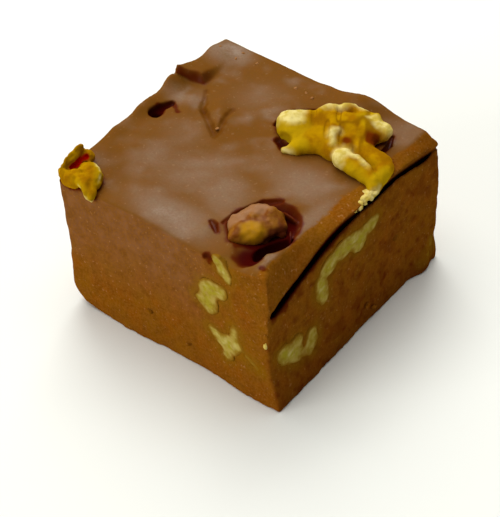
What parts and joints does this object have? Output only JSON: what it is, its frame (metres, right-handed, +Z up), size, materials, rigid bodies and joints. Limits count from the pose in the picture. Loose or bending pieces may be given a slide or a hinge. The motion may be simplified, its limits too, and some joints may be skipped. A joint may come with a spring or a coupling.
{
  "type": "chocolate walnut fudge",
  "caption": "Hand-cut square of chocolate fudge with a poured, lightly folded top, a crack under the skin and walnut pieces in its top and cut faces.",
  "frame": {"origin": "middle of the flat base, under the centre of the bounding box", "axes": "+Z up through the poured top; -Y is the front cut face, with cut walnut near its right end, and +X the right cut face, with the crack; the three sides not seen together lie at -X, +Y and -Z"},
  "size_m": [0.0422, 0.0422, 0.029],
  "materials": {
    "fudge": "satin",
    "walnut_kernel": "satin",
    "walnut_coated": "satin",
    "walnut_cut": "matte"
  },
  "bodies": {
    "root": {"fudge": "fudge", "walnut_top": "walnut_kernel", "walnut_corner": "walnut_kernel", "walnut_pit": "walnut_coated", "nut_front_edge": "walnut_cut", "nut_front_upper": "walnut_cut", "nut_front_lower": "walnut_cut", "nut_right_lower": "walnut_cut", "nut_right_strip": "walnut_cut", "nut_right_corner": "walnut_cut", "nut_left_upper": "walnut_cut", "nut_left_lower": "walnut_cut", "nut_back_upper": "walnut_cut", "nut_back_lower": "walnut_cut"}
  },
  "joints": []
}
